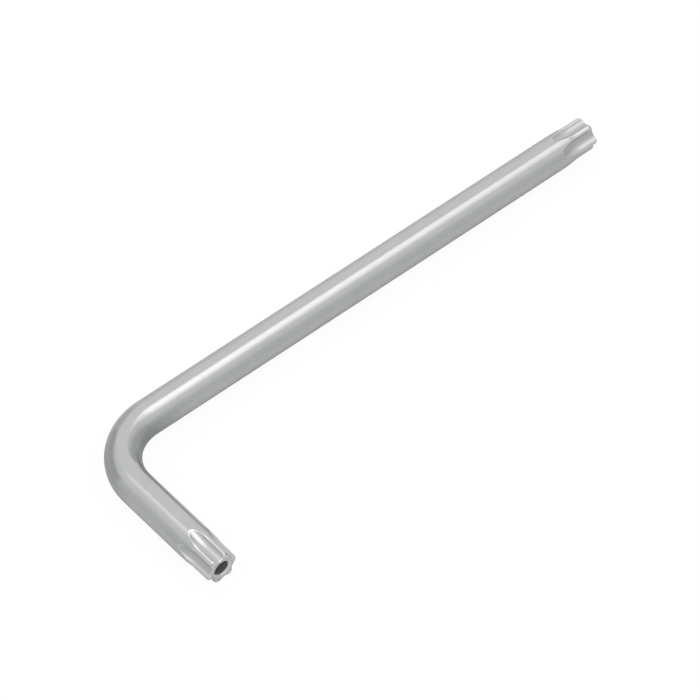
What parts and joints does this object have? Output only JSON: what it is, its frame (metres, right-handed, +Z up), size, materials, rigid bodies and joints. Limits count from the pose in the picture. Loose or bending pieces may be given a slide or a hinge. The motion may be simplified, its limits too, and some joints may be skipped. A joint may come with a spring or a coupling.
{
  "type": "security torx key",
  "caption": "L-shaped key of round plated steel wire, with a six-lobe drive point at each end and a hole in each point for a tamper-resistant screw's centre pin.",
  "frame": {"origin": "under the middle of the key's plan, on the surface that the key lies on", "axes": "+X along the long arm towards its tip, the short arm points to -Y, +Z up out of the key's plane"},
  "size_m": [0.05, 0.0164, 0.0028],
  "materials": {
    "steel": "satin"
  },
  "bodies": {
    "root": {"key": "steel"}
  },
  "joints": []
}
